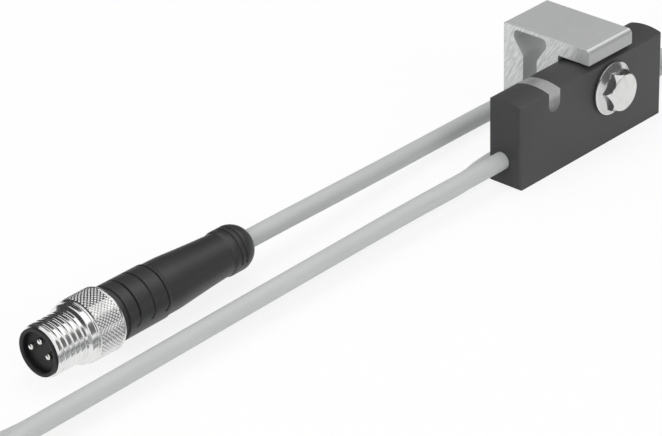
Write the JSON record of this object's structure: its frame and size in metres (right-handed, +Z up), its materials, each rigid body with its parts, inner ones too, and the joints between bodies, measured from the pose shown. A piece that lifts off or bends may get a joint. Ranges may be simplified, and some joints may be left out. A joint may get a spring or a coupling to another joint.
{
  "type": "proximity switch",
  "caption": "Slim proximity switch with a sawn rail clamp on a flange screw, and a grey cable to a small screw-coupled plug.",
  "frame": {"origin": "centre of the housing's flat underside, the sensing face", "axes": "+X along the housing away from the cable, +Y towards the clamp, +Z up from the sensing face"},
  "size_m": [0.2218, 0.0313, 0.0174],
  "materials": {
    "housing_plastic": "satin",
    "cover_plastic": "matt",
    "clear_plastic": "clear, smoky",
    "extruded_aluminium": "matt, sawn ends",
    "nickel_plate": "nickel plated",
    "bush_steel": "drawn",
    "cable_jacket": "satin",
    "boot_plastic": "satin",
    "carrier_plastic": "satin",
    "contact_plate": "plated, bright",
    "board_laminate": "lacquered",
    "led_body": "clear",
    "chip_plastic": "matt",
    "ceramic": "fired",
    "ring_metal": "plain",
    "brown_insulation": "satin",
    "blue_insulation": "satin",
    "black_insulation": "satin",
    "resin": "cast"
  },
  "bodies": {
    "switch": {"housing": "housing_plastic", "base_cover": "cover_plastic", "light_guide": "clear_plastic", "clamp": "extruded_aluminium", "clamp_screw": "nickel_plate", "screw_bush": "bush_steel", "cable": "cable_jacket", "plug_boot": "boot_plastic", "contact_carrier": "carrier_plastic", "contact_pin_1": "contact_plate", "contact_pin_3": "contact_plate", "contact_pin_4": "contact_plate", "circuit_board": "board_laminate", "status_led": "led_body", "sensor_chip": "chip_plastic", "output_chip": "chip_plastic", "resistor_1": "chip_plastic", "resistor_2": "chip_plastic", "resistor_3": "chip_plastic", "capacitor": "ceramic", "protection_diode": "chip_plastic", "strain_relief": "ring_metal", "wire_brown": "brown_insulation", "wire_blue": "blue_insulation", "wire_black": "black_insulation", "potting": "resin", "plug_wire_brown": "brown_insulation", "plug_wire_blue": "blue_insulation", "plug_wire_black": "black_insulation"},
    "nut": {"coupling_nut": "nickel_plate"}
  },
  "joints": [
    {"name": "coupling_nut_turn", "type": "hinge", "parent": "switch", "child": "nut", "pos_m": [-0.097, 0.01225, 0.0049], "axis": [1, 0, 0], "continuous": true}
  ]
}
